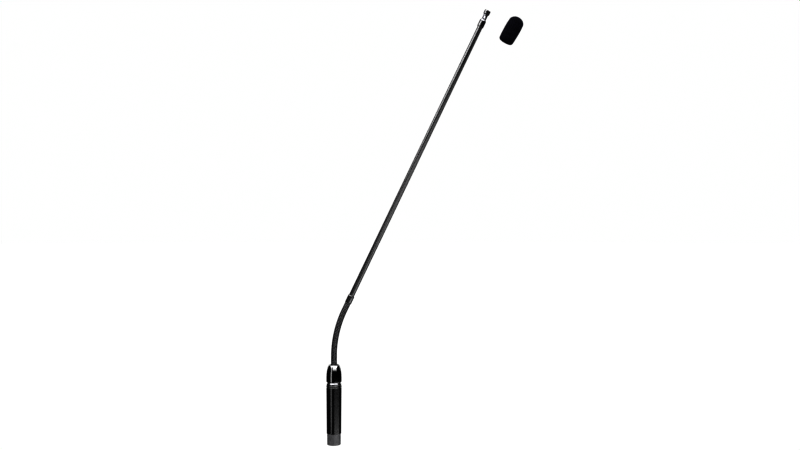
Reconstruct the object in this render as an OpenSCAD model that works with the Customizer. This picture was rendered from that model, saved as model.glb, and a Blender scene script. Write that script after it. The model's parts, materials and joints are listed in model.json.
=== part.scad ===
// Plug-in condenser microphone on a short gooseneck and a long thin boom, with its
// foam windscreen pulled off and held beside the capsule.
// Millimetres. The origin is the centre of the plug's shoulder, which seats on the
// socket. +Z runs up the base axis, +X is the side that the boom leans to.

/* [Plug] */
// Outside diameter of the plug's shell
plug_d = 18.8; // [18.6:0.1:19]
// Length of the shell from the shoulder to the rim
plug_len = 15.8; // [15:0.1:17]
// Inside diameter of the shell's recess
recess_d = 16.3; // [16:0.1:16.6]
// Diameter of a contact pin
pin_d = 2.4; // [2.3:0.05:2.5]
// Diameter of the circle that the contact pins stand on
pin_circle_d = 7.6; // [7.4:0.1:8.4]
// Diameter of the latch hole in the shell
latch_d = 4; // [3.5:0.1:4.5]
// Angle of the latch hole to the right of the front, in degrees
latch_angle = 105; // [90:1:170]

/* [Barrel] */
// Diameter of the barrel at its foot
barrel_foot_d = 20; // [19.8:0.1:21]
// Diameter of the barrel at its top
barrel_top_d = 21; // [20.5:0.1:21.4]
// Height of the barrel
barrel_h = 65.4; // [60:0.1:90]
// Diameter of the lock ring over the barrel
lock_ring_d = 21.6; // [21.2:0.1:23]

/* [Collar nut] */
// Largest diameter of the bullet-shaped collar nut
nut_d = 21; // [20.5:0.1:21.4]
// Height of the collar nut
nut_h = 24.9; // [23:0.1:28]

/* [Gooseneck] */
// Outside diameter of the gooseneck
neck_d = 8; // [7.6:0.1:8.4]
// Free length of the gooseneck between the nut and the ferrule
neck_len = 89.4; // [88:0.1:95]
// Straight length above the nut before the bend starts
neck_straight = 11.1; // [8:0.1:12]
// Radius of the bend at rest
bend_r = 150; // [140:1:150]
// Lean of the boom from vertical, in degrees
lean = 25.6; // [20:0.1:26]

/* [Boom] */
// Outside diameter of the boom tube
tube_d = 7.25; // [7:0.05:7.4]
// Wall thickness of the boom tube
tube_wall = 0.5; // [0.4:0.1:0.8]
// Length of the boom tube that shows between the ferrule and the tip sleeve
tube_shown = 419.5; // [300:0.5:430]
// Length of the ferrule
ferrule_len = 12; // [11.5:0.5:14]
// Outside diameter of the ferrule
ferrule_d = 8.95; // [8.8:0.05:9.4]

/* [Capsule] */
// Outside diameter of the tip sleeve that the windscreen grips
sleeve_d = 9.05; // [8.9:0.05:9.2]
// Length of the tip sleeve
sleeve_len = 10.2; // [9.8:0.1:13]
// Length of the narrow neck between sleeve and head
capsule_neck_len = 9.4; // [9:0.1:10]
// Outside diameter of the slotted head
head_d = 8.7; // [8.5:0.05:8.8]
// Length of the slotted head
head_len = 5.8; // [5.6:0.1:6.5]
// Number of slots round the head
head_slots = 6; // [4:1:8]

/* [Windscreen] */
// Largest diameter of the foam windscreen
foam_d = 22.6; // [21:0.1:24]
// Length of the foam windscreen
foam_len = 39.3; // [37:0.1:42]
// Depth of the cavity that takes the capsule
cavity_depth = 29.1; // [28:0.1:31]
// Diameter of the cavity
cavity_d = 9.4; // [9.3:0.05:9.6]
// Distance of the windscreen's mouth from the boom's axis
foam_offset = 41; // [35:0.1:60]
// Extra lean of the windscreen over the boom's, in degrees
foam_tilt = 4; // [0:0.5:6]

/* [Hidden] */
$fn = 48;
front = -90;
slip = 0.05;

// Base stations, up the base axis
ring_z = barrel_h + 0.4;
ring_h = 2.6;
flange_z = ring_z + ring_h;
nut_z = flange_z + 4.3;
nut_top = nut_z + nut_h;
insert_bottom = -1.6;
insert_top = 6.4;
spigot_h = 8;
spigot_r = 8.9;
thread_r = 8.5;
pin_tail = 10;
screw_z = 4;
board_z = 15;
board_h = 31;
board_w = 14;
board_t = 1.6;
nut_step = 12;
clamp_h = 1.6;
anchor_z = nut_z + nut_step - clamp_h - 0.05;
anchor_h = nut_h - 14.9;
root_z = anchor_z + 1;

// Gooseneck: a chain of short hollow links with ball joints
LINKS = 11;
HINGES = LINKS + 1;
hinge_pitch = neck_len / HINGES;
hinge_gap = 0.75;
ball_r = 3;
bore_r = 1.9;
cable_r = 0.8;

// Stations along the boom, from the foot of the ferrule
grip_len = 6;
spigot_len = 5;
sleeve_t = ferrule_len + tube_shown;
cap_neck_t = sleeve_t + sleeve_len;
head_t = cap_neck_t + capsule_neck_len;
tip_t = head_t + head_len;
cartridge_t = head_t + 1.6;
cartridge_h = 2.5;
cartridge_r = 3;
head_wall = 0.6;
screw_t = ferrule_len - 2.8;
screw_angle = front + 20.7;

LINK_NAMES = [for (i = [1:LINKS]) str("gooseneck_link_", i < 10 ? "0" : "", i)];

// The gooseneck's centreline: straight up, round the bend, then straight at the lean
arc_len = bend_r * lean * PI / 180;
function turn(s) = max(0, min(lean, (s - neck_straight) / bend_r * 180 / PI));
function past(s) = max(0, s - neck_straight - arc_len);
function neck_x(s) = bend_r * (1 - cos(turn(s))) + past(s) * sin(lean);
function neck_z(s) =
    nut_top + min(s, neck_straight) + bend_r * sin(turn(s)) + past(s) * cos(lean);
function hinge_x(i) = neck_x((i - 0.5) * hinge_pitch);
function hinge_z(i) = neck_z((i - 0.5) * hinge_pitch);

// Places its children on the boom's axis, with the ferrule's foot at z = 0
module on_boom() {
    translate([neck_x(neck_len), 0, neck_z(neck_len)])
        rotate([0, lean, 0])
            children();
}

// A solid of revolution about Z through [radius, height] points
module turned(points) {
    rotate_extrude()
        polygon(points);
}

// A tube between two heights
module tube(r_out, r_in, low, high) {
    translate([0, 0, low])
        difference() {
            cylinder(h = high - low, r = r_out);
            translate([0, 0, -1])
                cylinder(h = high - low + 2, r = r_in);
        }
}

// A round rod pointing outwards from the Z axis, between two radii
module spoke(r, from, to, angle, z) {
    rotate([0, 0, angle])
        translate([from, 0, z])
            rotate([0, 90, 0])
                cylinder(h = to - from, r = r);
}

// A set screw with a hex socket in its outer end
module set_screw(r, from, to, angle, z) {
    difference() {
        spoke(r, from, to, angle, z);
        rotate([0, 0, angle])
            translate([to - 0.6, 0, z])
                rotate([0, 90, 0])
                    cylinder(h = 1, r = r * 0.5, $fn = 6);
    }
}

module plug_shell() {
    rim = 0.6;
    color("#46464a")
        difference() {
            union() {
                turned([
                    [recess_d / 2, -plug_len],
                    [plug_d / 2 - rim, -plug_len],
                    [plug_d / 2, -plug_len + rim],
                    [plug_d / 2, 0],
                    [recess_d / 2, 0]
                ]);
                tube(spigot_r, recess_d / 2, -0.5, spigot_h);
            }
            spoke(latch_d / 2, recess_d / 2 - 1, plug_d, front + latch_angle, -plug_len + 6);
            spoke(1.3, 6, plug_d, -front, screw_z);
        }
}

module plug_insert() {
    key_w = 2;
    color("#1c1c1e")
        difference() {
            translate([0, 0, insert_bottom])
                cylinder(h = insert_top - insert_bottom, r = recess_d / 2 - slip);
            for (n = [0:2])
                pin_place(n)
                    translate([0, 0, insert_bottom - 1])
                        cylinder(h = 12, r = pin_d / 2 + 0.02);
            translate([-key_w / 2, -recess_d / 2 - 1, insert_bottom - 1])
                cube([key_w, 2.2, 5]);
            spoke(1.27, 5.2, plug_d, -front, screw_z);
        }
}

// The three pins stand a quarter turn apart, with the gap at the front
module pin_place(n) {
    rotate([0, 0, 180 - 90 * n])
        translate([pin_circle_d / 2, 0, 0])
            children();
}

module contact_pin(n) {
    r = pin_d / 2;
    color("#c9a24a")
        pin_place(n)
            difference() {
                turned([
                    [0, -plug_len + 0.8],
                    [r * 0.6, -plug_len + 0.8],
                    [r, -plug_len + 1.6],
                    [r, pin_tail],
                    [0, pin_tail]
                ]);
                translate([0, 0, pin_tail - 2.4])
                    cylinder(h = 3, r = r * 0.65);
            }
}

module plug_screw() {
    color("#2a2a2c")
        set_screw(1.25, 5.3, 9.8, -front, screw_z);
}

// Three wires from the pins' solder cups to the foot of the board
module contact_leads() {
    wire_r = 0.5;
    cup_z = pin_tail - 2.3;
    bend_z = pin_tail + 2;
    inwards = pin_circle_d / 2 - board_t / 2 - 0.55;
    upwards = 4;
    color("#8a2f2a")
        for (n = [0, 2])
            pin_place(n)
                translate([0, 0, cup_z])
                    cylinder(h = board_z - cup_z - 0.05, r = wire_r);
    color("#2d4f8f")
        pin_place(1)
            union() {
                translate([0, 0, cup_z])
                    cylinder(h = bend_z - cup_z + 0.2, r = wire_r);
                translate([0, 0, bend_z])
                    rotate([0, -atan2(inwards, upwards), 0])
                        cylinder(h = norm([inwards, upwards]), r = wire_r * 0.92);
            }
}

module barrel() {
    edge = 0.35;
    foot = 0.3;
    color("#151516")
        difference() {
            turned([
                [spigot_r + slip, 0],
                [barrel_foot_d / 2 - foot, 0],
                [barrel_foot_d / 2, foot],
                [barrel_top_d / 2, barrel_h - 0.45],
                [barrel_top_d / 2 - edge, barrel_h],
                [thread_r + slip, barrel_h],
                [thread_r + slip, barrel_h - 15],
                [spigot_r + slip, barrel_h - 15]
            ]);
            spoke(1.3, 6, plug_d, -front, screw_z);
        }
}

module lock_ring() {
    r = lock_ring_d / 2;
    color("#18181a")
        turned([
            [thread_r + slip, ring_z],
            [r - 0.3, ring_z],
            [r, ring_z + 0.3],
            [r, ring_z + 0.8],
            [r - 0.8, flange_z],
            [thread_r + slip, flange_z]
        ]);
}

// Male thread both ways from a flange: down into the barrel and up into the nut
module threaded_sleeve() {
    flange_r = 10.1;
    waist_r = 9.1;
    bore = 6.5;
    color("#202022")
        turned([
            [bore, barrel_h - 12],
            [thread_r, barrel_h - 12],
            [thread_r, flange_z],
            [flange_r, flange_z],
            [flange_r, flange_z + 1.5],
            [waist_r, flange_z + 3.5],
            [waist_r, nut_z - 0.7],
            [thread_r, nut_z - 0.7],
            [thread_r, anchor_z - 0.05],
            [bore, anchor_z - 0.05]
        ]);
}

module seal_ring() {
    color("#0c0c0c")
        tube(9.3, thread_r + 0.02, nut_z - 0.65, nut_z - 0.02);
}

// Bullet shape: straight foot, then a full curve that closes on a small shoulder
module collar_nut() {
    r = nut_d / 2;
    straight = 5.5;
    shoulder = 7.3;
    fullness = 1.3;
    hole = neck_d / 2 + 0.1;
    crown = nut_h - straight - 1.4;
    function side(k) = shoulder + (r - shoulder) * pow(cos(k), fullness);
    color("#08080a")
        translate([0, 0, nut_z])
            difference() {
                turned(concat(
                    [[0, 0], [r - 0.7, 0], [r, 0.7]],
                    [for (k = [0:10:90]) [side(k), straight + crown * sin(k)]],
                    [[hole + 0.7, nut_h], [0, nut_h]]
                ));
                translate([0, 0, -1])
                    cylinder(h = nut_step + 1, r = thread_r + slip);
                translate([0, 0, nut_step - 0.1])
                    cylinder(h = anchor_h + 0.1, r = 6.3);
                cylinder(h = nut_h + 1, r = hole);
            }
}

// Brass bush swaged on the foot of the gooseneck and clamped under the nut
module gooseneck_anchor() {
    color("#b08d3e")
        difference() {
            union() {
                translate([0, 0, anchor_z])
                    cylinder(h = clamp_h, r = 7.6);
                translate([0, 0, anchor_z])
                    cylinder(h = anchor_h, r = 6.2);
            }
            translate([0, 0, root_z])
                cylinder(h = anchor_h, r = neck_d / 2 + slip);
            translate([0, 0, anchor_z - 1])
                cylinder(h = 3, r = bore_r);
        }
}

module preamp_board() {
    color("#1f5a34")
        translate([-board_w / 2, -board_t / 2, board_z])
            cube([board_w, board_t, board_h]);
}

// Three can capacitors standing off the front of the board
module board_capacitors() {
    can_r = 2;
    for (n = [0:2])
        color("#23262e")
            translate([-4 + 4 * n, -board_t / 2, board_z + 7 + 8 * (n % 2)])
                rotate([90, 0, 0])
                    cylinder(h = 4.6, r = can_r);
}

// The input transistor, the amplifier chip and the filter parts on the back
module board_chips() {
    color("#141414") {
        translate([-2.5, board_t / 2, board_z + 16])
            cube([5, 1.5, 4]);
        for (n = [0:3])
            translate([-5.2 + 3 * n, board_t / 2, board_z + 5])
                cube([1.3, 0.8, 2]);
        translate([-1.5, board_t / 2, board_z + 25])
            cube([3, 1.2, 2.6]);
    }
}

// One link: a hollow bead with a ball on its upper end and a socket in its lower end
module link(length) {
    difference() {
        union() {
            translate([0, 0, hinge_gap])
                cylinder(h = length - 2 * hinge_gap, r = neck_d / 2);
            translate([0, 0, length])
                sphere(r = ball_r);
        }
        sphere(r = ball_r + slip);
        translate([0, 0, -ball_r])
            cylinder(h = length + 2 * ball_r + 1, r = bore_r);
    }
}

module gooseneck_link(i) {
    dx = hinge_x(i + 1) - hinge_x(i);
    dz = hinge_z(i + 1) - hinge_z(i);
    color("#1b1b1c")
        translate([hinge_x(i), 0, hinge_z(i)])
            rotate([0, atan2(dx, dz), 0])
                link(norm([dx, dz]));
}

// The stretch that is fixed in the anchor and stands out of the nut
module gooseneck_root() {
    top = hinge_z(1);
    color("#1b1b1c")
        difference() {
            union() {
                translate([0, 0, root_z])
                    cylinder(h = top - hinge_gap - root_z, r = neck_d / 2);
                translate([0, 0, top])
                    sphere(r = ball_r);
            }
            translate([0, 0, root_z - 1])
                cylinder(h = top - root_z + ball_r + 2, r = bore_r);
        }
}

// The last stretch, whose spigot is swaged in the ferrule
module gooseneck_end() {
    socket_t = -hinge_pitch / 2;
    color("#1b1b1c")
        on_boom()
            difference() {
                union() {
                    translate([0, 0, socket_t + hinge_gap])
                        cylinder(h = -socket_t - hinge_gap - slip, r = neck_d / 2);
                    translate([0, 0, -1])
                        cylinder(h = spigot_len - slip + 1, r = 3.3);
                }
                translate([0, 0, socket_t])
                    sphere(r = ball_r + slip);
                translate([0, 0, socket_t])
                    cylinder(h = 20, r = bore_r);
            }
}

module boom_ferrule() {
    r = ferrule_d / 2;
    color("#1a1a1b")
        on_boom()
            difference() {
                turned([
                    [3.33, 0],
                    [r - 0.4, 0],
                    [r, 0.9],
                    [r, ferrule_len - 1],
                    [r - 0.6, ferrule_len],
                    [tube_d / 2 + slip, ferrule_len],
                    [tube_d / 2 + slip, ferrule_len - grip_len],
                    [bore_r, ferrule_len - grip_len],
                    [bore_r, spigot_len],
                    [3.33, spigot_len]
                ]);
                spoke(0.95, 3, r + 1, screw_angle, screw_t);
            }
}

module ferrule_screw() {
    color("#0e0e0f")
        on_boom()
            set_screw(0.92, tube_d / 2 + slip, ferrule_d / 2 - 0.12, screw_angle, screw_t);
}

module boom_tube() {
    color("#121213")
        on_boom()
            tube(
                tube_d / 2,
                tube_d / 2 - tube_wall,
                ferrule_len - grip_len + slip,
                sleeve_t + grip_len - slip
            );
}

module tip_sleeve() {
    r = sleeve_d / 2;
    top = sleeve_len;
    color("#151516")
        on_boom()
            translate([0, 0, sleeve_t])
                turned([
                    [tube_d / 2 + slip, 0],
                    [r - 0.25, 0],
                    [r, 0.25],
                    [r, top - 0.7],
                    [r - 0.7, top],
                    [2.85, top],
                    [2.85, grip_len + 0.8],
                    [bore_r, grip_len + 0.8],
                    [bore_r, grip_len],
                    [tube_d / 2 + slip, grip_len]
                ]);
}

// Narrow neck with a bright bevelled collar at its foot and four vent holes
module capsule_neck() {
    r = 3.1;
    port_z = 4.3;
    top = capsule_neck_len;
    color("#5a5a5e")
        on_boom()
            translate([0, 0, cap_neck_t])
                difference() {
                    turned([
                        [bore_r, -sleeve_len + grip_len + 0.9],
                        [2.8, -sleeve_len + grip_len + 0.9],
                        [2.8, 0.05],
                        [4, 0.05],
                        [4, 0.5],
                        [r, 1.5],
                        [2.6, 1.5],
                        [2.6, 2.3],
                        [r, 2.6],
                        [r, top],
                        [2.55, top],
                        [2.55, top + 1.3],
                        [bore_r, top + 1.3]
                    ]);
                    for (a = [0:90:270])
                        spoke(0.6, 0, r + 1, front + a, port_z);
                }
}

// Cap over the cartridge, its wall cut into prongs by slots that open at the top
module capsule_head() {
    r = head_d / 2;
    slot_w = 1;
    slot_z = 2.4;
    color("#101011")
        on_boom()
            translate([0, 0, head_t])
                difference() {
                    turned([
                        [2.6, 0.05],
                        [r - 0.5, 0.05],
                        [r, 0.55],
                        [r, head_len - 0.5],
                        [r - 0.4, head_len],
                        [r - head_wall, head_len - 0.3],
                        [r - head_wall, 0.85],
                        [2.6, 0.85]
                    ]);
                    for (n = [0:head_slots - 1])
                        rotate([0, 0, front - 25 + 360 / head_slots * n])
                            translate([2, -slot_w / 2, slot_z])
                                cube([r, slot_w, head_len]);
                }
}

module capsule_cartridge() {
    color("#b9bbbe")
        on_boom()
            translate([0, 0, cartridge_t])
                cylinder(h = cartridge_h, r = cartridge_r);
}

// Rubber ring that holds the cartridge in the head
module capsule_gasket() {
    color("#0a0a0a")
        on_boom()
            tube(
                head_d / 2 - head_wall - 0.02,
                cartridge_r + 0.02,
                cartridge_t - 0.3,
                cartridge_t + 0.5
            );
}

// Fine grille disc over the cartridge
module capsule_mesh() {
    color("#2c2c2e")
        on_boom()
            translate([0, 0, cartridge_t + cartridge_h + 0.2])
                cylinder(h = 0.3, r = head_d / 2 - head_wall - 0.05);
}

// The cable's route as [x, z, lean]: up the base, round the bend, along the boom
function cable_route() =
    let(
        steps = 12,
        foot = board_z + board_h + 0.02,
        run = neck_len + cartridge_t - 0.02
    )
    concat(
        [[0, foot, 0]],
        [for (k = [0:steps])
            let(s = neck_straight + arc_len * k / steps)
                [neck_x(s), neck_z(s), turn(s)]],
        [[neck_x(run), neck_z(run), lean]]
    );

// Joins rings of points, one round each stop of a route, into one closed solid
module swept(route, r, sides) {
    rings = [for (p = route, k = [0:sides - 1])
        let(a = 360 / sides * k)
            [p[0] + r * cos(a) * cos(p[2]), r * sin(a), p[1] - r * cos(a) * sin(p[2])]];
    last = len(rings) - sides;
    walls = [for (j = [0:len(route) - 2], k = [0:sides - 1])
        let(low = j * sides, high = low + sides, next = (k + 1) % sides)
            [low + k, high + k, high + next, low + next]];
    polyhedron(rings, concat(
        [[for (k = [0:sides - 1]) k]],
        walls,
        [[for (k = [sides - 1:-1:0]) last + k]]
    ));
}

// The signal cable, whole, from the board's top edge to the back of the cartridge
module signal_cable() {
    color("#26262a")
        swept(cable_route(), cable_r, 8);
}

// Foam windscreen: rolled mouth, slightly barrelled skirt, domed crown, blind cavity.
// Its mouth lies level, along the boom, with where it seats.
module windscreen_foam() {
    r = foam_d / 2;
    skirt_r = r - 0.7;
    shoulder_r = r - 0.5;
    mouth = 3.2;
    crown = 8.6;
    color("#0b0b0d")
        on_boom()
            translate([foam_offset, 0, tip_t - cavity_depth])
                rotate([0, foam_tilt, 0])
                    difference() {
                        turned(concat(
                            [[0, 0]],
                            [for (k = [0:15:90])
                                [skirt_r - mouth * (1 - sin(k)), mouth * (1 - cos(k))]],
                            [[r - 0.25, foam_len * 0.25], [r, foam_len * 0.56]],
                            [for (k = [0:15:75])
                                [shoulder_r * cos(k), foam_len - crown + crown * sin(k)]],
                            [[0, foam_len]]
                        ));
                        translate([0, 0, -1])
                            cylinder(h = cavity_depth + 1, r = cavity_d / 2);
                    }
}

plug_shell();
plug_insert();
contact_pin(0);  // contact_pin_1
contact_pin(1);  // contact_pin_2
contact_pin(2);  // contact_pin_3
plug_screw();
contact_leads();
barrel();
lock_ring();
threaded_sleeve();
seal_ring();
collar_nut();
gooseneck_anchor();
preamp_board();
board_capacitors();
board_chips();
gooseneck_root();
for (i = [1:LINKS])
    gooseneck_link(i);
gooseneck_end();
boom_ferrule();
ferrule_screw();
boom_tube();
tip_sleeve();
capsule_neck();
capsule_head();
capsule_cartridge();
capsule_gasket();
capsule_mesh();
signal_cable();
windscreen_foam();
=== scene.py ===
import json
import math

import bmesh
import bpy
from mathutils import Matrix, Vector, noise


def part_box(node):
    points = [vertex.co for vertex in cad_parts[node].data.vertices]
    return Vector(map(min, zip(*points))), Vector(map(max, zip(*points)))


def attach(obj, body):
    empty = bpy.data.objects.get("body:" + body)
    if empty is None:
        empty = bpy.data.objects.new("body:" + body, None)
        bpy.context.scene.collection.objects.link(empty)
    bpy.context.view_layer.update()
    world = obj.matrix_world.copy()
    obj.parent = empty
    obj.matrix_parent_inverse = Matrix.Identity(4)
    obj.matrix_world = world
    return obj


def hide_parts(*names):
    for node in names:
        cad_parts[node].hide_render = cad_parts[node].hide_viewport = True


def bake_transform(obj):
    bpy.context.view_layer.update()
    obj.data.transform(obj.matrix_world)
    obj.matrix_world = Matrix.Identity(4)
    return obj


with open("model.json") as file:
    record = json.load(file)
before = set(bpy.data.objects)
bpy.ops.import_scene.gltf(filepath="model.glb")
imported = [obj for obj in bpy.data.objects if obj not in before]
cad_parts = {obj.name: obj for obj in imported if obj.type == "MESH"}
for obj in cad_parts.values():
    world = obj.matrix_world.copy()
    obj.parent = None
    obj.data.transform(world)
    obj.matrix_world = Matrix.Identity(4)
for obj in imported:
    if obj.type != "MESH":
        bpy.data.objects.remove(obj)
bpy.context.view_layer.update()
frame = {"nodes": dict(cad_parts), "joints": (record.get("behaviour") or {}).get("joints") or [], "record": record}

MM = 0.001
UP = Vector((0, 0, 1))
FRONT = math.radians(-90)


# ---------------------------------------------------------------- places from the frame

class Axis:
    """A line that round pieces are turned about, with stations measured along it."""

    def __init__(self, origin, direction):
        self.origin = Vector(origin)
        self.direction = Vector(direction).normalized()
        across = Vector((0, 1, 0)).cross(self.direction).normalized()
        turn = Matrix((across, Vector((0, 1, 0)), self.direction)).transposed()
        self.matrix = Matrix.Translation(self.origin) @ turn.to_4x4()

    def at(self, station):
        return self.origin + self.direction * station

    def reach(self, node):
        """Lowest and highest station of a CAD node, and its largest radius."""
        back = self.matrix.inverted()
        points = [back @ v.co for v in frame["nodes"][node].data.vertices]
        heights = [p.z for p in points]
        return min(heights), max(heights), max(math.hypot(p.x, p.y) for p in points)

    def shifted(self, station):
        return Axis(self.at(station), self.direction)


mounts = {m["name"]: m for m in frame["record"]["mounts"]}
joints = {j["name"]: j for j in frame["joints"]}
neck_joints = [j for j in frame["joints"] if j["name"].startswith("gooseneck")]

BASE = Axis((0, 0, 0), UP)
seat = Axis(mounts["windscreen_seat"]["pos_m"], joints["windscreen_pull"]["axis"])
BOOM = seat.shifted(seat.reach("boom_ferrule")[0])
cavity = mounts["windscreen_cavity"]
foam_mouth = Vector(cavity["pos_m"]) + Vector(cavity["axis"]) * cavity["dims"]["length_mm"] * MM / 2
FOAM = Axis(foam_mouth, -Vector(cavity["axis"]))

NECK_R = BOOM.reach("gooseneck_end")[2]
NUT_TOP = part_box("collar_nut")[1].z
LEAN = math.atan2(BOOM.direction.x, BOOM.direction.z)


class Gooseneck:
    """The centreline: straight up from the nut, round one arc, straight along the boom."""

    def __init__(self):
        pitch = (Vector(neck_joints[-1]["pos_m"]) - BOOM.origin).length * 2
        self.pitch = pitch
        self.length = pitch * len(neck_joints)
        corner = BOOM.origin.z - BOOM.origin.x / math.tan(LEAN)
        legs = (corner - NUT_TOP) + BOOM.origin.x / math.sin(LEAN)
        cut = 2 * math.tan(LEAN / 2) - LEAN
        self.radius = (legs - self.length) / cut
        self.straight = corner - NUT_TOP - self.radius * math.tan(LEAN / 2)
        self.arc = self.radius * LEAN

    def turn(self, s):
        return max(0.0, min(LEAN, (s - self.straight) / self.radius))

    def point(self, s):
        a = self.turn(s)
        over = max(0.0, s - self.straight - self.arc)
        rise = min(s, self.straight)
        x = self.radius * (1 - math.cos(a)) + over * math.sin(LEAN)
        z = NUT_TOP + rise + self.radius * math.sin(a) + over * math.cos(LEAN)
        return Vector((x, 0, z))

    def frame(self, s):
        """The point at s, and the two directions across the neck there."""
        a = self.turn(s)
        return self.point(s), Vector((math.cos(a), 0, -math.sin(a))), Vector((0, 1, 0))


NECK = Gooseneck()

THREAD_R = 8.5 * MM
THREAD_BORE_R = 8.55 * MM
LATCH_R, LATCH_RISE, LATCH_WAY = 2 * MM, 6 * MM, FRONT + math.radians(105)
PLUG_SCREW_R, PLUG_SCREW_Z, PLUG_SCREW_WAY = 1.3 * MM, 4 * MM, -FRONT
FERRULE_SCREW_R, FERRULE_SCREW_DROP, FERRULE_SCREW_WAY = 0.95 * MM, 2.8 * MM, FRONT + math.radians(20.7)


# ---------------------------------------------------------------- mesh tools

def new_object(name, bm, smooth_angle=40):
    bmesh.ops.recalc_face_normals(bm, faces=bm.faces)
    mesh = bpy.data.meshes.new(name)
    bm.to_mesh(mesh)
    bm.free()
    mesh.shade_smooth()
    mesh.set_sharp_from_angle(angle=math.radians(smooth_angle))
    obj = bpy.data.objects.new(name, mesh)
    bpy.context.scene.collection.objects.link(obj)
    return obj


def rounded(points, radius, steps=4):
    """The closed outline with each corner rounded, as (r, z, wear) with wear 1 on edges."""
    made = []
    for i, here in enumerate(points):
        before, after = Vector(points[i - 1]), Vector(points[(i + 1) % len(points)])
        here = Vector(here)
        way_in, way_out = before - here, after - here
        if here.x < 1e-7 or way_in.angle(way_out, 0) > math.radians(172):
            made.append((here.x, here.y, 0.0))
            continue
        reach = min(radius, way_in.length * 0.45, way_out.length * 0.45)
        start, end = here + way_in.normalized() * reach, here + way_out.normalized() * reach
        turn = way_in.x * way_out.y - way_in.y * way_out.x
        for k in range(steps + 1):
            t = k / steps
            p = start * (1 - t) ** 2 + here * 2 * t * (1 - t) + end * t * t
            edge = math.sin(math.pi * t) if turn < 0 else 0.0
            made.append((p.x, p.y, edge))
    return made


def turned(name, axis, outline, segments=128, soften=0.15 * MM):
    """A closed solid of revolution about an axis, from its (radius, station) outline."""
    bm = bmesh.new()
    wear = bm.verts.layers.float.new("wear")
    rings = []
    for r, z, edge in rounded(outline, soften):
        ring = []
        for k in range(1 if r < 1e-7 else segments):
            a = 2 * math.pi * k / segments
            v = bm.verts.new(axis.matrix @ Vector((r * math.cos(a), r * math.sin(a), z)))
            v[wear] = edge
            ring.append(v)
        rings.append(ring)
    for low, high in zip(rings, rings[1:] + rings[:1]):
        if len(low) == 1 and len(high) == 1:
            continue
        for k in range(segments):
            a, b = low[k % len(low)], low[(k + 1) % segments % len(low)]
            c, d = high[(k + 1) % segments % len(high)], high[k % len(high)]
            corners = list(dict.fromkeys((a, b, c, d)))
            bm.faces.new(corners)
    obj = new_object(name, bm)
    flatter = obj.modifiers.new("flat faces", "WEIGHTED_NORMAL")
    flatter.keep_sharp = True
    return obj


def rod(axis, radius, angle, station, inner, outer, sides=48, flare=0.0):
    """A cutter: a round rod that points out of an axis, between two radii, or a cone."""
    bm = bmesh.new()
    out = Vector((math.cos(angle), math.sin(angle), 0))
    turn = UP.rotation_difference(out).to_matrix().to_4x4()
    place = Matrix.Translation(out * (inner + outer) / 2 + UP * station) @ turn
    bmesh.ops.create_cone(
        bm, cap_ends=True, segments=sides, radius1=radius, radius2=radius + flare, depth=outer - inner,
        matrix=axis.matrix @ place,
    )
    return new_object("cutter", bm)


def slab(axis, size, angle, middle):
    """A cutter: a box turned about an axis, with its middle at (radius, station)."""
    bm = bmesh.new()
    place = Matrix.Rotation(angle, 4, "Z") @ Matrix.Translation((middle[0], 0, middle[1]))
    bmesh.ops.create_cube(bm, size=1, matrix=axis.matrix @ place @ Matrix.Diagonal((*size, 1)))
    return new_object("cutter", bm)


def carve(obj, cutters, edge=0.0):
    """Cuts holes in a piece, and leaves a small bevel of the given width round them."""
    for cutter in cutters:
        cut = obj.modifiers.new("cut", "BOOLEAN")
        cut.operation = "DIFFERENCE"
        cut.solver = "EXACT"
        cut.object = cutter
    settle(obj)
    for cutter in cutters:
        bpy.data.objects.remove(cutter)
    obj.data.set_sharp_from_angle(angle=math.radians(35))
    if edge:
        bevel = obj.modifiers.new("hole edges", "BEVEL")
        bevel.width = edge
        bevel.segments = 2
        bevel.limit_method = "ANGLE"
        bevel.angle_limit = math.radians(50)
        bevel.harden_normals = True
    flatter = obj.modifiers.new("flat faces", "WEIGHTED_NORMAL")
    flatter.keep_sharp = True


def mark(obj, axis, name, amount):
    """Writes a value on every corner of a piece, from its (station, angle, radius)."""
    back = axis.matrix.inverted()
    layer = obj.data.attributes.new(name, "FLOAT", "POINT")
    for v, value in zip(obj.data.vertices, layer.data):
        p = back @ v.co
        value.value = amount(p.z, math.atan2(p.y, p.x), math.hypot(p.x, p.y))


def settle(obj):
    """Applies every modifier, so that the mesh is final."""
    dg = bpy.context.evaluated_depsgraph_get()
    dg.update()
    mesh = bpy.data.meshes.new_from_object(obj.evaluated_get(dg), depsgraph=dg)
    obj.modifiers.clear()
    obj.data = mesh


def wear_the_look(obj, body, node, slot):
    """Gives a piece its body, the CAD node that it stands for, its slot and material."""
    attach(obj, body)
    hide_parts(node)
    paint(obj, LOOKS[slot])


def paint(obj, material):
    obj.data.materials.clear()
    obj.data.materials.append(material)


# ---------------------------------------------------------------- material tools

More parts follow.
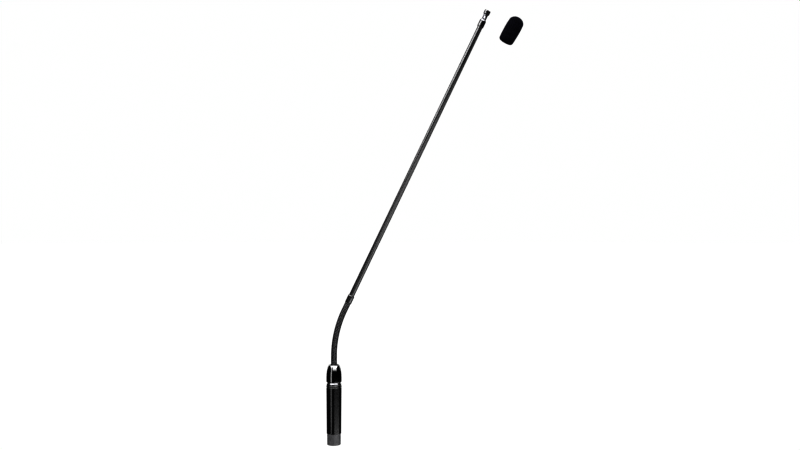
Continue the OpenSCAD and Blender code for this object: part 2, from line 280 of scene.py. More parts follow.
class Look:
    """A Principled material and short ways to feed it procedural detail."""

    def __init__(self, name, roughness=0.4, metallic=0.0, coat=0.0, coat_roughness=0.1):
        self.material = bpy.data.materials.new(name)
        self.material.use_nodes = True
        self.tree = self.material.node_tree
        self.shader = self.tree.nodes["Principled BSDF"]
        self.shader.inputs["Roughness"].default_value = roughness
        self.shader.inputs["Metallic"].default_value = metallic
        self.shader.inputs["Coat Weight"].default_value = coat
        self.shader.inputs["Coat Roughness"].default_value = coat_roughness
        self.bumped = None
        self.place = self.tree.nodes.new("ShaderNodeTexCoord").outputs["Object"]

    def link(self, source, target):
        self.tree.links.new(source, target)

    def stretched(self, scale, lean=0.0):
        """Coordinates squeezed along an axis that leans in the XZ plane."""
        node = self.tree.nodes.new("ShaderNodeMapping")
        node.vector_type = "TEXTURE"
        node.inputs["Rotation"].default_value = (0, lean, 0)
        node.inputs["Scale"].default_value = scale
        self.link(self.place, node.inputs["Vector"])
        return node.outputs["Vector"]

    def noise(self, scale, detail=4.0, roughness=0.55, place=None):
        node = self.tree.nodes.new("ShaderNodeTexNoise")
        node.inputs["Scale"].default_value = scale
        node.inputs["Detail"].default_value = detail
        node.inputs["Roughness"].default_value = roughness
        self.link(place or self.place, node.inputs["Vector"])
        return node.outputs["Fac"]

    def cells(self, scale):
        node = self.tree.nodes.new("ShaderNodeTexVoronoi")
        node.inputs["Scale"].default_value = scale
        self.link(self.place, node.inputs["Vector"])
        return node.outputs["Distance"]

    def attribute(self, name):
        node = self.tree.nodes.new("ShaderNodeAttribute")
        node.attribute_name = name
        return node.outputs["Fac"]

    def range(self, value, low, high, to_low, to_high):
        node = self.tree.nodes.new("ShaderNodeMapRange")
        node.inputs["From Min"].default_value = low
        node.inputs["From Max"].default_value = high
        node.inputs["To Min"].default_value = to_low
        node.inputs["To Max"].default_value = to_high
        self.link(value, node.inputs["Value"])
        return node.outputs["Result"]

    def math(self, operation, a, b):
        node = self.tree.nodes.new("ShaderNodeMath")
        node.operation = operation
        for value, target in ((a, node.inputs[0]), (b, node.inputs[1])):
            if isinstance(value, (int, float)):
                target.default_value = value
            else:
                self.link(value, target)
        return node.outputs["Value"]

    def mixed(self, factor, a, b):
        node = self.tree.nodes.new("ShaderNodeMix")
        node.data_type = "RGBA"
        self.link(factor, node.inputs["Factor"])
        for value, target in ((a, node.inputs[6]), (b, node.inputs[7])):
            if isinstance(value, tuple):
                target.default_value = (*value, 1)
            else:
                self.link(value, target)
        return node.outputs[2]

    def color(self, value):
        self.link(value, self.shader.inputs["Base Color"])

    def rough(self, value):
        self.link(value, self.shader.inputs["Roughness"])

    def bump(self, height, distance, strength=1.0):
        node = self.tree.nodes.new("ShaderNodeBump")
        node.inputs["Distance"].default_value = distance
        node.inputs["Strength"].default_value = strength
        self.link(height, node.inputs["Height"])
        if self.bumped:
            self.link(self.bumped, node.inputs["Normal"])
        self.bumped = node.outputs["Normal"]
        self.link(self.bumped, self.shader.inputs["Normal"])


def coated(name, color, lighter, rough, spread, grain, depth, worn=(0.09, 0.09, 0.095), coat=0.0,
           coat_roughness=0.08, metallic=0.0, coat_ior=1.5, polished=False):
    """Painted or anodised metal: fine grain, smudges that change the gloss, rubbed edges."""
    look = Look(name, rough, metallic, coat, coat_roughness)
    look.shader.inputs["Coat IOR"].default_value = coat_ior
    clouds = look.noise(90, 3)
    speck = look.noise(1400, 2)
    rubbed = look.math("MULTIPLY", look.attribute("wear"), look.range(look.noise(700, 5), 0.42, 0.62, 0, 1))
    base = look.mixed(look.range(clouds, 0.3, 0.7, 0, 1), color, lighter)
    base = look.mixed(look.range(speck, 0.68, 0.74, 0, 0.6), base, lighter)
    base = look.mixed(look.math("MULTIPLY", rubbed, 0.7), base, worn)
    if polished:
        bare = look.attribute("polish")
        look.link(bare, look.shader.inputs["Metallic"])
        base = look.mixed(bare, base, (0.55, 0.55, 0.57))
    look.color(base)
    smudge = look.noise(160, 5, 0.65)
    look.rough(look.range(smudge, 0.3, 0.7, rough - spread, rough + spread))
    look.bump(look.noise(grain, 3, 0.6), depth)
    return look.material


def bare_metal(name, color, rough, spread, scale=(1, 1, 1)):
    """Bare metal with fine drawn or turned lines and faint stains."""
    look = Look(name, rough, 1.0)
    lines = look.noise(900, 4, 0.6, look.stretched(scale))
    stain = look.noise(220, 4, 0.6)
    dull = tuple(c * 0.72 for c in color)
    look.color(look.mixed(look.range(stain, 0.35, 0.7, 0, 1), color, dull))
    look.rough(look.range(lines, 0.3, 0.7, rough - spread, rough + spread))
    look.bump(lines, 0.004 * MM)
    return look.material


def moulded(name, color, lighter, rough):
    """Moulded plastic or rubber: soft grain, slight colour drift, dull patches."""
    look = Look(name, rough)
    look.color(look.mixed(look.range(look.noise(150, 4), 0.3, 0.7, 0, 1), color, lighter))
    look.rough(look.range(look.noise(400, 4), 0.3, 0.7, rough - 0.1, rough + 0.12))
    look.bump(look.noise(1500, 3), 0.01 * MM)
    return look.material


# ---------------------------------------------------------------- materials

def plug_metal():
    return coated("plug_metal", (0.15, 0.15, 0.155), (0.2, 0.2, 0.206), 0.5, 0.08, 1800,
                  0.012 * MM, worn=(0.4, 0.4, 0.41))


def barrel_black():
    return coated("barrel_black", (0.012, 0.012, 0.013), (0.018, 0.018, 0.019), 0.22, 0.05, 2600,
                  0.010 * MM, coat=1.0, coat_roughness=0.1)


def nut_gloss():
    return coated("nut_gloss", (0.009, 0.009, 0.01), (0.012, 0.012, 0.013), 0.14, 0.05, 900,
                  0.0015 * MM, coat=1.0, coat_roughness=0.03, coat_ior=2.2)


def ring_black():
    return coated("ring_black", (0.012, 0.012, 0.013), (0.02, 0.02, 0.021), 0.3, 0.06, 2200,
                  0.006 * MM)


def waist_metal():
    return coated("waist_metal", (0.1, 0.1, 0.103), (0.14, 0.14, 0.144), 0.22, 0.06, 2000,
                  0.003 * MM, coat=0.4, metallic=0.8)


def neck_steel():
    return coated("neck_steel", (0.011, 0.011, 0.012), (0.019, 0.019, 0.0205), 0.27, 0.08, 3000,
                  0.006 * MM, worn=(0.16, 0.16, 0.17))


def tube_black():
    look = Look("tube_black", 0.28, 0.0, 0.35, 0.12)
    drawn = look.stretched((1, 1, 14), LEAN)
    clouds = look.noise(60, 4, 0.6, drawn)
    speck = look.noise(1700, 2)
    base = look.mixed(look.range(clouds, 0.3, 0.7, 0, 1), (0.014, 0.014, 0.015), (0.022, 0.022, 0.0235))
    base = look.mixed(look.range(speck, 0.69, 0.75, 0, 0.5), base, (0.06, 0.06, 0.062))
    rubbed = look.math("MULTIPLY", look.attribute("wear"), look.range(look.noise(600, 4), 0.4, 0.6, 0, 0.8))
    look.color(look.mixed(rubbed, base, (0.12, 0.12, 0.125)))
    look.rough(look.range(look.noise(240, 5, 0.6, drawn), 0.3, 0.7, 0.2, 0.36))
    look.bump(look.noise(2400, 3), 0.004 * MM)
    look.bump(look.noise(500, 4, 0.6, drawn), 0.006 * MM)
    return look.material


def tip_black():
    return coated("tip_black", (0.012, 0.012, 0.013), (0.018, 0.018, 0.019), 0.18, 0.05, 2400,
                  0.003 * MM, coat=0.4, coat_roughness=0.05, polished=True)


def capsule_metal():
    """Dark nickel, with the collar and the edges of the ports polished bright."""
    look = Look("capsule_metal", 0.26, 1.0)
    polish = look.attribute("polish")
    stain = look.range(look.noise(400, 4), 0.3, 0.7, 0, 1)
    dark = look.mixed(stain, (0.05, 0.05, 0.053), (0.075, 0.075, 0.08))
    bright = look.mixed(stain, (0.62, 0.62, 0.64), (0.5, 0.5, 0.52))
    look.color(look.mixed(polish, dark, bright))
    look.rough(look.range(look.noise(1200, 4), 0.3, 0.7, 0.2, 0.34))
    look.bump(look.noise(2600, 3), 0.003 * MM)
    return look.material


def foam_black():
    """Open-cell foam: near black, with painted shade darkening the cells, and a faint cold bloom on the struts."""
    look = Look("foam_black", 0.95)
    pit_shade = look.attribute("pit_shade")
    drift = look.noise(260, 4)
    strut = look.mixed(look.range(drift, 0.35, 0.65, 0, 1), (0.007, 0.007, 0.014), (0.018, 0.017, 0.035))
    # Painted shade: the colour goes darker towards the middle of each foam cell, following the cell depth
    look.color(look.mixed(look.range(pit_shade, 0.1, 0.8, 0, 1), strut, (0.002, 0.002, 0.005)))
    look.rough(look.range(look.noise(900, 3), 0.3, 0.7, 0.82, 1.0))
    look.bump(look.cells(2100), 0.09 * MM, 0.8)
    look.bump(look.noise(4200, 3), 0.03 * MM, 0.7)
    look.shader.inputs["Specular IOR Level"].default_value = 0.1
    look.shader.inputs["Sheen Weight"].default_value = 0.01
    look.shader.inputs["Sheen Roughness"].default_value = 0.5
    return look.material


def board_green():
    look = Look("board_green", 0.35, 0.0, 0.5, 0.15)
    tracks = look.tree.nodes.new("ShaderNodeTexBrick")
    tracks.inputs["Scale"].default_value = 420
    tracks.inputs["Mortar Size"].default_value = 0.02
    tracks.inputs["Color1"].default_value = (0.012, 0.11, 0.045, 1)
    tracks.inputs["Color2"].default_value = (0.016, 0.14, 0.055, 1)
    tracks.inputs["Mortar"].default_value = (0.03, 0.2, 0.08, 1)
    look.link(look.place, tracks.inputs["Vector"])
    look.color(tracks.outputs["Color"])
    look.rough(look.range(look.noise(500, 3), 0.3, 0.7, 0.28, 0.42))
    look.bump(tracks.outputs["Fac"], 0.02 * MM)
    return look.material


LOOKS = {
    "plug_metal": plug_metal(),
    "insert_plastic": moulded("insert_plastic", (0.012, 0.012, 0.013), (0.02, 0.02, 0.022), 0.55),
    "pin_gold": bare_metal("pin_gold", (0.78, 0.56, 0.25), 0.2, 0.06, (1, 1, 8)),
    "screw_steel": bare_metal("screw_steel", (0.05, 0.05, 0.055), 0.38, 0.08),
    "lead_wire": moulded("lead_wire", (0.26, 0.03, 0.025), (0.34, 0.05, 0.04), 0.4),
    "barrel_black": barrel_black(),
    "ring_black": ring_black(),
    "sleeve_thread": waist_metal(),
    "seal_rubber": moulded("seal_rubber", (0.006, 0.006, 0.006), (0.012, 0.012, 0.012), 0.6),
    "nut_gloss": nut_gloss(),
    "bush_brass": bare_metal("bush_brass", (0.62, 0.45, 0.19), 0.32, 0.08),
    "board_green": board_green(),
    "can_sleeve": moulded("can_sleeve", (0.02, 0.025, 0.05), (0.03, 0.035, 0.06), 0.3),
    "chip_black": moulded("chip_black", (0.01, 0.01, 0.01), (0.02, 0.02, 0.02), 0.6),
    "neck_steel": neck_steel(),
    "ferrule_black": coated("ferrule_black", (0.014, 0.014, 0.015), (0.022, 0.022, 0.024), 0.26, 0.06,
                            2200, 0.005 * MM, coat=0.4),
    "tube_black": tube_black(),
    "tip_black": tip_black(),
    "capsule_metal": capsule_metal(),
    "head_black": coated("head_black", (0.012, 0.012, 0.013), (0.018, 0.018, 0.019), 0.2, 0.06, 2400,
                         0.003 * MM, coat=0.7, coat_roughness=0.06),
    "cartridge_metal": bare_metal("cartridge_metal", (0.62, 0.62, 0.64), 0.3, 0.08),
    "mesh_steel": bare_metal("mesh_steel", (0.2, 0.2, 0.21), 0.35, 0.08),
    "cable_black": moulded("cable_black", (0.012, 0.012, 0.014), (0.02, 0.02, 0.023), 0.5),
    "foam_black": foam_black(),
}


# ---------------------------------------------------------------- base

def make_plug_shell():
    _, _, r = BASE.reach("plug_shell")
    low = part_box("plug_shell")[0].z
    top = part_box("plug_shell")[1].z
    spigot = r - 0.5 * MM
    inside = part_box("plug_insert")[1].x + 0.05 * MM
    outline = [
        (inside + 0.5 * MM, low),
        (r - 0.75 * MM, low),
        (r - 0.2 * MM, low + 0.3 * MM),
        (r, low + 1.1 * MM),
        (r, -0.75 * MM),
        (r - 0.12 * MM, -0.62 * MM),
        (r - 0.12 * MM, -0.42 * MM),
        (r, -0.3 * MM),
        (r, -0.01 * MM),
        (spigot, -0.01 * MM),
        (spigot, top),
        (inside, top),
        (inside, low + 0.6 * MM),
    ]
    shell = turned("plug_shell_turned", BASE, outline, 192, 0.12 * MM)
    latch = rod(BASE, LATCH_R, LATCH_WAY, low + LATCH_RISE, inside - 1 * MM, r + 2 * MM, 64)
    screw = rod(BASE, PLUG_SCREW_R, PLUG_SCREW_WAY, PLUG_SCREW_Z, inside - 1 * MM, r + 2 * MM)
    carve(shell, [latch, screw], 0.12 * MM)
    wear_the_look(shell, "base", "plug_shell", "plug_metal")


def make_barrel():
    low, high, top_r = BASE.reach("barrel")
    foot_r = top_r - 0.5 * MM
    bore = BASE.reach("plug_shell")[2] - 0.45 * MM
    outline = [
        (bore, low),
        (foot_r - 0.35 * MM, low),
        (foot_r, low + 0.35 * MM),
        (top_r, high - 0.45 * MM),
        (top_r - 0.35 * MM, high),
        (THREAD_BORE_R, high),
        (THREAD_BORE_R, high - 15 * MM),
        (bore, high - 15 * MM),
    ]
    barrel = turned("barrel_turned", BASE, outline, 192, 0.2 * MM)
    screw = rod(BASE, PLUG_SCREW_R, PLUG_SCREW_WAY, PLUG_SCREW_Z, bore - 1 * MM, top_r + 2 * MM)
    carve(barrel, [screw], 0.1 * MM)
    wear_the_look(barrel, "base", "barrel", "barrel_black")


def make_lock_ring():
    low, high, r = BASE.reach("lock_ring")
    outline = [
        (THREAD_BORE_R, low),
        (r - 0.35 * MM, low),
        (r, low + 0.35 * MM),
        (r, low + 0.5 * MM),
        (r - 0.8 * MM, high),
        (THREAD_BORE_R, high),
    ]
    ring = turned("lock_ring_turned", BASE, outline, 192, 0.25 * MM)
    wear_the_look(ring, "base", "lock_ring", "ring_black")


def make_sleeve():
    low, high, r = BASE.reach("threaded_sleeve")
    flange = BASE.reach("lock_ring")[1]
    nut = BASE.reach("collar_nut")[0]
    bore, waist = 6.5 * MM, 9.1 * MM
    outline = [
        (bore, low),
        (THREAD_R, low),
        (THREAD_R, flange),
        (r, flange),
        (r, flange + 1.5 * MM),
        (waist, flange + 3.5 * MM),
        (waist, nut - 0.66 * MM),
        (THREAD_R, nut - 0.66 * MM),
        (THREAD_R, high),
        (bore, high),
    ]
    sleeve = turned("threaded_sleeve_turned", BASE, outline, 192, 0.12 * MM)
    wear_the_look(sleeve, "base", "threaded_sleeve", "sleeve_thread")


def make_seal_ring():
    low, high, r = BASE.reach("seal_ring")
    middle, thick = (low + high) / 2, (high - low) / 2
    wide = (r - THREAD_R - 0.02 * MM) / 2
    outline = [
        (r - wide + wide * math.cos(a), middle + thick * math.sin(a))
        for a in (2 * math.pi * k / 16 for k in range(16))
    ]
    ring = turned("seal_ring_moulded", BASE, outline, 128, 0)
    wear_the_look(ring, "base", "seal_ring", "seal_rubber")


def make_nut():
    low, high, r = BASE.reach("collar_nut")
    shoulder, straight, rise = 7.3 * MM, 5.5 * MM, 1.4 * MM
    crown = high - low - straight - rise
    hole = NECK_R + 0.1 * MM
    curve = []
    for k in range(46):
        a = math.radians(2 * k)
        side = shoulder + (r - shoulder) * max(0.0, math.cos(a)) ** 1.3
        curve.append((side, low + straight + crown * math.sin(a)))
    outline = (
        [(THREAD_BORE_R, low), (r - 0.3 * MM, low), (r, low + 0.35 * MM)]
        + curve
        + [(hole + 0.75 * MM, high), (hole, high - 0.25 * MM), (hole, high - 2.9 * MM)]
        + [(6.3 * MM, high - 2.9 * MM), (6.3 * MM, low + 12 * MM), (THREAD_BORE_R, low + 12 * MM)]
    )
    nut = turned("collar_nut_turned", BASE, outline, 192, 0.3 * MM)
    wear_the_look(nut, "base", "collar_nut", "nut_gloss")


# ---------------------------------------------------------------- gooseneck

WIND_PITCH = 2.0 * MM
WIND_DEPTH = 0.3 * MM
BORE_R = 1.9 * MM


def winding_radius(s, angle):
    """Outer radius of the wound tube: round wire crests with sharp valleys between."""
    phase = (s / WIND_PITCH - angle / (2 * math.pi)) % 1.0
    across = abs(2 * phase - 1)
    return NECK_R - WIND_DEPTH * (1 - math.sqrt(max(0.0, 1 - across ** 2.4)))


def swept_shell(name, start, end, outer, inner, steps, sides):
    """A closed tube along the gooseneck's line, with a wall between two radii."""
    bm = bmesh.new()
    wear = bm.verts.layers.float.new("wear")
    rings = []
    for j in range(steps + 1):
        s = start + (end - start) * j / steps
        middle, across, back = NECK.frame(s)
        for radius_of in (outer, inner):
            ring = []
            for k in range(sides):
                a = 2 * math.pi * k / sides
                radius = radius_of(s, a)
                v = bm.verts.new(middle + (across * math.cos(a) + back * math.sin(a)) * radius)
                v[wear] = max(0.0, 1 - (NECK_R - radius) / (0.25 * WIND_DEPTH))
                ring.append(v)
            rings.append(ring)
    loops = [(rings[2 * j], rings[2 * j + 2]) for j in range(steps)]
    loops += [(rings[2 * j + 1], rings[2 * j + 3]) for j in range(steps)]
    loops += [(rings[0], rings[1]), (rings[-2], rings[-1])]
    for low, high in loops:
        for k in range(sides):
            n = (k + 1) % sides
            bm.faces.new((low[k], low[n], high[n], high[k]))
    return new_object(name, bm, 60)


def make_windings():
    """One piece for each joint, bent between the two bodies that the joint joins."""
    root_depth = NUT_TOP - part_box("gooseneck_root")[0].z
    for i, joint in enumerate(neck_joints):
        low, high = i * NECK.pitch, (i + 1) * NECK.pitch
        first, last = i == 0, i == len(neck_joints) - 1
        start = -root_depth if first else low
        end = high + 0.02 * MM if last else high
        steps = max(48, round((end - start) / WIND_PITCH * 14))
        winding = swept_shell(
            f"gooseneck_winding_{i + 1:02d}", start, end, winding_radius,
            lambda s, a: BORE_R + 0.5 * MM, steps, 72,
        )
        nodes = [n for n in frame["record"]["behaviour"]["bodies"][joint["child"]] if "gooseneck" in n]
        if first:
            nodes.append("gooseneck_root")
        finish_bent(winding, nodes, "neck_steel")


def finish_bent(piece, nodes, slot):
    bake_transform(piece)
    if nodes:
        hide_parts(*nodes)
    paint(piece, LOOKS[slot])


def make_cable():
    """The signal cable: a stretch in the base, one for each joint, and one in the boom."""
    r = 0.78 * MM
    lay = 9 * MM

    def skin(s, a):
        return r * (1 + 0.035 * math.cos(4 * (a - 2 * math.pi * s / lay)))

    def core(s, a):
        return r * 0.35

    foot = NUT_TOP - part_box("signal_cable")[0].z
    cartridge = BOOM.reach("capsule_cartridge")[0] + NECK.length
    below = swept_shell("signal_cable_base", -foot, 0, skin, core, 60, 16)
    above = swept_shell("signal_cable_boom", NECK.length, cartridge - 0.02 * MM, skin, core, 220, 16)
    wear_the_look(below, "base", "signal_cable", "cable_black")
    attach(above, "boom")
    paint(above, LOOKS["cable_black"])
    for i, joint in enumerate(neck_joints):
        low, high = i * NECK.pitch, (i + 1) * NECK.pitch
        piece = swept_shell(f"signal_cable_neck_{i + 1:02d}", low, high, skin, core, 12, 16)
        finish_bent(piece, [], "cable_black")


# ---------------------------------------------------------------- boom and capsule

def make_ferrule():
    low, high, r = BOOM.reach("boom_ferrule")
    spigot = 3.33 * MM
    tube = BOOM.reach("boom_tube")[2] + 0.05 * MM
    outline = [
        (spigot, low),
        (r - 0.5 * MM, low),
        (r - 0.1 * MM, low + 0.5 * MM),
        (r, low + 1.3 * MM),
        (r, high - 1.5 * MM),
        (r - 0.2 * MM, high - 0.7 * MM),
        (r - 0.65 * MM, high),
        (tube, high),
        (tube, high - 6 * MM),
        (BORE_R, high - 6 * MM),
        (BORE_R, low + 5 * MM),
        (spigot, low + 5 * MM),
    ]
    ferrule = turned("boom_ferrule_turned", BOOM, outline, 128, 0.25 * MM)
    screw_z = high - FERRULE_SCREW_DROP
    screw = rod(BOOM, FERRULE_SCREW_R, FERRULE_SCREW_WAY, screw_z, 3 * MM, r + 1 * MM, 32)
    carve(ferrule, [screw], 0.08 * MM)
    wear_the_look(ferrule, "boom", "boom_ferrule", "ferrule_black")


def make_tube():
    low, high, r = BOOM.reach("boom_tube")
    wall = 0.5 * MM
    runs = 60
    sides = [(r, low + (high - low) * k / runs) for k in range(runs + 1)]
    outline = sides + [(r - wall, high), (r - wall, low)]
    tube = turned("boom_tube_drawn", BOOM, outline, 96, 0.1 * MM)
    wear_the_look(tube, "boom", "boom_tube", "tube_black")


def make_tip_sleeve():
    low, high, r = BOOM.reach("tip_sleeve")
    tube = BOOM.reach("boom_tube")[2] + 0.05 * MM
    outline = [
        (tube, low),
        (r - 0.3 * MM, low),
        (r, low + 0.3 * MM),
        (r, high - 1.9 * MM),
        (r - 0.18 * MM, high - 1.8 * MM),
        (r - 0.18 * MM, high - 1.5 * MM),
        (r, high - 1.4 * MM),
        (r, high - 0.75 * MM),
        (r - 0.7 * MM, high),
        (2.85 * MM, high),
        (2.85 * MM, low + 6.8 * MM),
        (BORE_R, low + 6.8 * MM),
        (BORE_R, low + 6 * MM),
        (tube, low + 6 * MM),
    ]
    sleeve = turned("tip_sleeve_turned", BOOM, outline, 128, 0.12 * MM)
    mark(sleeve, BOOM, "polish", lambda z, angle, radius: float(z > high - 0.85 * MM))
    wear_the_look(sleeve, "boom", "tip_sleeve", "tip_black")


def make_capsule_neck():
    low, high, _ = BOOM.reach("capsule_neck")
    foot = BOOM.reach("tip_sleeve")[1]
    top = BOOM.reach("capsule_head")[0] - 0.05 * MM
    r = 3.1 * MM
    outline = [
        (BORE_R, low),
        (2.8 * MM, low),
        (2.8 * MM, foot + 0.05 * MM),
        (4 * MM, foot + 0.05 * MM),
        (4 * MM, foot + 0.5 * MM),
        (r, foot + 1.5 * MM),
        (2.6 * MM, foot + 1.6 * MM),
        (2.6 * MM, foot + 2.3 * MM),
        (r, foot + 2.6 * MM),
        (r, top),
        (2.55 * MM, top),
        (2.55 * MM, high),
        (BORE_R, high),
    ]
    neck = turned("capsule_neck_turned", BOOM, outline, 128, 0.1 * MM)
    port_z, port_r, sink_r = foot + 4.3 * MM, 0.4 * MM, 0.95 * MM
    ports = []
    for k in range(4):
        way = FRONT + math.radians(90 * k)
        ports.append(rod(BOOM, port_r, way, port_z, 0.5 * MM, r + 1 * MM, 32))
        ports.append(rod(BOOM, port_r, way, port_z, r - 0.4 * MM, r + 0.1 * MM, 48, sink_r - port_r))
    carve(neck, ports)

    def polished(z, angle, radius):
        around = (angle - FRONT + math.pi / 4) % (math.pi / 2) - math.pi / 4
        if math.hypot(around * r, z - port_z) < sink_r:
            return 1.0
        return 0.35 if z < foot + 1.56 * MM else 0.0

    mark(neck, BOOM, "polish", polished)
    wear_the_look(neck, "boom", "capsule_neck", "capsule_metal")


def make_capsule_head():
    low, high, r = BOOM.reach("capsule_head")
    inside = r - 0.6 * MM
    outline = [
        (2.6 * MM, low),
        (r - 0.5 * MM, low),
        (r, low + 0.5 * MM),
        (r, high - 0.5 * MM),
        (r - 0.35 * MM, high),
        (inside, high - 0.25 * MM),
        (inside, low + 0.8 * MM),
        (2.6 * MM, low + 0.8 * MM),
    ]
    head = turned("capsule_head_turned", BOOM, outline, 144, 0.15 * MM)
    slots = [
        slab(BOOM, (3 * MM, 1 * MM, 8 * MM), FRONT + math.radians(60 * n - 25), (r, low + 6.35 * MM))
        for n in range(6)
    ]
    carve(head, slots, 0.1 * MM)
    wear_the_look(head, "boom", "capsule_head", "head_black")


def make_capsule_mesh():
    """A woven disc: two layers of fine wires that pass over and under each other."""
    low, high, r = BOOM.reach("capsule_mesh")
    pitch, wire = 0.46 * MM, 0.075 * MM
    level, swing = (low + high) / 2, 0.06 * MM
    bm = bmesh.new()
    count = int(r / pitch)
    for across in (0, 1):
        for n in range(-count, count + 1):
            side = n * pitch
            half = math.sqrt(max(0.0, (r - 0.05 * MM) ** 2 - side ** 2))
            steps = max(4, round(half / pitch * 8))
            rings = []
            for j in range(steps + 1):
                along = -half + 2 * half * j / steps
                lift = swing * math.cos(math.pi * (along / pitch + n + across))
                ring = []
                for k in range(6):
                    a = math.pi * k / 3
                    point = (side + wire * math.cos(a), along, level + lift + wire * math.sin(a))
                    if across:
                        point = (point[1], point[0], point[2])
                    ring.append(bm.verts.new(BOOM.matrix @ Vector(point)))
                rings.append(ring)
            for a, b in zip(rings, rings[1:]):
                for k in range(6):
                    bm.faces.new((a[k], a[(k + 1) % 6], b[(k + 1) % 6], b[k]))
            bm.faces.new(rings[0])
            bm.faces.new(rings[-1])
    mesh = new_object("capsule_mesh_woven", bm)
    wear_the_look(mesh, "boom", "capsule_mesh", "mesh_steel")


# ---------------------------------------------------------------- windscreen

def foam_outline(r, length):
    """The foam's skin from the cavity's mouth over the outside to the crown."""
    rim, crown = 3.2 * MM, 8.6 * MM
    skirt, shoulder = r - 0.75 * MM, r - 0.5 * MM
    cavity_r = cavity["dims"]["r_mm"] * MM
    points = [(cavity_r, 1.2 * MM), (cavity_r + 0.5 * MM, 0.35 * MM), (cavity_r + 1.2 * MM, 0)]
    for k in range(0, 100, 10):
        a = math.radians(k)
        points.append((skirt - rim * (1 - math.sin(a)), rim * (1 - math.cos(a))))
    points.append((r - 0.3 * MM, length * 0.25))
    points.append((r, length * 0.56))
    for k in range(0, 90, 10):
        a = math.radians(k)
        points.append((shoulder * math.cos(a), length - crown + crown * math.sin(a)))
    points.append((0, length))
    return points


def resampled(points, spacing):
    """Points at even spacing along a smooth curve through an outline."""
    smooth = []
    for i in range(len(points) - 1):
        p0 = Vector(points[max(0, i - 1)])
        p1, p2 = Vector(points[i]), Vector(points[i + 1])
        p3 = Vector(points[min(len(points) - 1, i + 2)])
        span = (p2 - p1).length
        m1 = (p2 - p0) * span / max(1e-9, (p2 - p0).length)
        m2 = (p3 - p1) * span / max(1e-9, (p3 - p1).length)
        for k in range(12):
            t = k / 12
            a, b = 2 * t ** 3 - 3 * t * t + 1, t ** 3 - 2 * t * t + t
            c, d = -2 * t ** 3 + 3 * t * t, t ** 3 - t * t
            smooth.append(p1 * a + m1 * b + p2 * c + m2 * d)
    smooth.append(Vector(points[-1]))
    made, travelled = [smooth[0]], 0.0
    for a, b in zip(smooth, smooth[1:]):
        travelled += (b - a).length
        if travelled >= spacing:
            made.append(b)
            travelled = 0.0
    if travelled < spacing / 2:
        made.pop()
    made.append(smooth[-1])
    return made


def foam_pit(place, cell):
    """How deep in a foam cell a point is, from 0 on a strut to 1 in the cell's middle."""
    near = noise.voronoi(place / cell)[0]
    gap = near[1] - near[0]
    return max(0.0, min(1.0, gap * 1.6))


def make_foam():
    _, length, r = FOAM.reach("windscreen_foam")
    depth = cavity["dims"]["length_mm"] * MM
    bore, dome_z = cavity["dims"]["r_mm"] * MM, length - 8.6 * MM
    cell, pit_depth = 1.15 * MM, 0.42 * MM
    skin = resampled(foam_outline(r - 0.05 * MM, length - 0.1 * MM), 0.26 * MM)
    sides = 300
    bm = bmesh.new()
    pit_shade = bm.verts.layers.float.new("pit_shade")
    rings = []
    cavity_wall = [(0, depth), (2.5 * MM, depth - 0.1 * MM), (4.2 * MM, depth - 1 * MM)]
    cavity_wall += [(bore, depth - 2.2 * MM - 0.5 * MM * k) for k in range(51)]
    for r_here, z in cavity_wall + [tuple(p) for p in skin]:
        ring = []
        for k in range(1 if r_here < 1e-6 else sides):
            a = 2 * math.pi * k / sides
            place = Vector((r_here * math.cos(a), r_here * math.sin(a), z))
            inward = Vector((math.cos(a), math.sin(a), 0)) if z < dome_z else place - UP * dome_z
            deep = foam_pit(place, cell)
            large = noise.noise(place / (6 * MM)) * 0.12 * MM
            v = bm.verts.new(FOAM.matrix @ (place - inward.normalized() * (deep * pit_depth + abs(large))))
            # The cell depth is also kept to drive the painted shade in the foam's colour
            v[pit_shade] = deep
            ring.append(v)
        rings.append(ring)
    for low, high in zip(rings, rings[1:]):
        for k in range(sides):
            corners = [low[k % len(low)], low[(k + 1) % sides % len(low)]]
            corners += [high[(k + 1) % sides % len(high)], high[k % len(high)]]
            bm.faces.new(list(dict.fromkeys(corners)))
    foam = new_object("windscreen_foam_cells", bm, 180)
    wear_the_look(foam, "windscreen", "windscreen_foam", "foam_black")


# ---------------------------------------------------------------- stage, lights, camera

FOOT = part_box("plug_shell")[0].z
# The plug has no table round it, so the floor is low enough for the boom to hang past the plug
BELOW = 0.25


def make_stage():
    bm = bmesh.new()
    bmesh.ops.create_circle(bm, cap_ends=True, segments=96, radius=30)
    floor = new_object("studio_floor", bm)
    floor.location.z = FOOT - BELOW
    look = Look("studio_white", 0.9)
    patches = look.range(look.noise(3, 2), 0.3, 0.7, 0, 1)
    look.color(look.mixed(patches, (0.19, 0.19, 0.19), (0.21, 0.21, 0.21)))
    look.shader.inputs["Specular IOR Level"].default_value = 0.0
    look.shader.inputs["Emission Color"].default_value = (1, 1, 1, 1)
    look.shader.inputs["Emission Strength"].default_value = 0.83
    paint(floor, look.material)
    floor.visible_glossy = False
    floor.visible_shadow = False
    world = bpy.data.worlds.new("studio")
    bpy.context.scene.world = world
    world.use_nodes = True
    world.node_tree.nodes["Background"].inputs["Color"].default_value = (1, 1, 1, 1)
    world.node_tree.nodes["Background"].inputs["Strength"].default_value = 1.0
    world.cycles_visibility.glossy = False


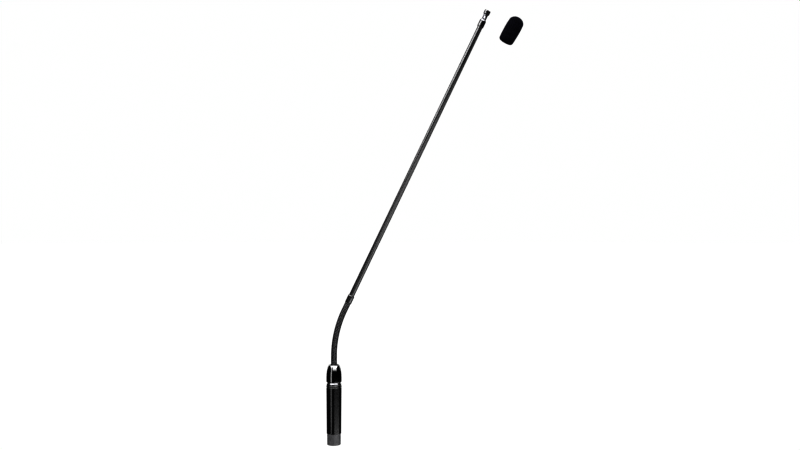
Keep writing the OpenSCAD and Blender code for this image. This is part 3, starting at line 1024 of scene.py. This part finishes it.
def panel(name, seen_from, azimuth, elevation, distance, radiance, fade=None):
    """A light card that only shows in reflections, placed by where a point would see it.

    Azimuth is 0 towards the camera and positive to the right. A fade gives the share of the
    card's height at which it starts, and where it has come up to full strength.
    """
    turn, tilt = (math.radians(sum(pair) / 2) for pair in (azimuth, elevation))
    way = Vector((math.sin(turn) * math.cos(tilt), -math.cos(turn) * math.cos(tilt), math.sin(tilt)))
    light = bpy.data.lights.new(name, "AREA")
    light.shape = "RECTANGLE"
    light.size, light.size_y = (
        2 * distance * math.tan(math.radians(high - low) / 2) for low, high in (azimuth, elevation)
    )
    light.energy = radiance * math.pi * light.size * light.size_y
    if fade:
        light.use_nodes = True
        tree = light.node_tree
        geometry = tree.nodes.new("ShaderNodeNewGeometry")
        split = tree.nodes.new("ShaderNodeSeparateXYZ")
        ramp = tree.nodes.new("ShaderNodeMapRange")
        ramp.inputs["From Min"].default_value, ramp.inputs["From Max"].default_value = fade
        tree.links.new(geometry.outputs["Parametric"], split.inputs[0])
        tree.links.new(split.outputs["Y"], ramp.inputs["Value"])
        tree.links.new(ramp.outputs["Result"], tree.nodes["Emission"].inputs["Strength"])
    lamp = bpy.data.objects.new(name, light)
    bpy.context.scene.collection.objects.link(lamp)
    lamp.location = Vector(seen_from) + way * distance
    lamp.rotation_mode = "QUATERNION"
    lamp.rotation_quaternion = way.to_track_quat("Z", "Y")
    lamp.visible_camera = False
    lamp.visible_diffuse = False


def make_lights():
    nut, tube, tip = (0, 0, 0.09), BOOM.at(0.2), BOOM.at(0.42)
    panel("overhead", nut, (-52, 56), (52, 100), 1.8, 9)
    panel("front_high", nut, (-52, 56), (24, 56), 6.0, 9, fade=(0, 0.8))
    panel("front_middle", tube, (-28, 42), (-22, 11), 0.5, 5.4, fade=(0, 0.28))
    panel("left_strip", nut, (-49, -31), (-28, 24), 0.3, 3.2)
    panel("left_high", tip, (-100, -22), (20, 45), 1.0, 3.1)
    for n, side in enumerate((-1, 1)):
        panel(f"back_{n}", nut, (side * 148 - 16, side * 148 + 16), (-2, 40), 1.5, 1.6)
    for n, edge in enumerate((9, 38, 67)):
        panel(f"right_low_{n}", nut, (edge, edge + 29), (-40, -11.5), 12.0, 5.6, fade=(1, 0.82))


def make_camera():
    """Level, square on to the plane of the boom, as far off as the photographer stood."""
    distance, lens, sensor = 1.4, 44.68, 36.0
    aside, rise = 0.0931, 0.3095
    camera = bpy.data.cameras.new("camera")
    camera.lens = lens
    camera.sensor_width = sensor
    eye = bpy.data.objects.new("camera", camera)
    bpy.context.scene.collection.objects.link(eye)
    eye.location = (aside, -distance, FOOT + rise)
    eye.rotation_euler = (math.radians(90), 0, 0)
    bpy.context.scene.camera = eye


# ---------------------------------------------------------------- put together

make_camera()
make_stage()
make_lights()

make_plug_shell()
make_barrel()
make_lock_ring()
make_sleeve()
make_seal_ring()
make_nut()
make_windings()
make_cable()
make_ferrule()
make_tube()
make_tip_sleeve()
make_capsule_neck()
make_capsule_head()
make_capsule_mesh()
make_foam()

for part in frame["record"]["subparts"]:
    shown = frame["nodes"][part["node"]]
    if not shown.hide_render:
        paint(shown, LOOKS[part["material_slot"]])

bpy.context.scene.view_settings.view_transform = "Standard"
bpy.context.scene.view_settings.gamma = 0.46
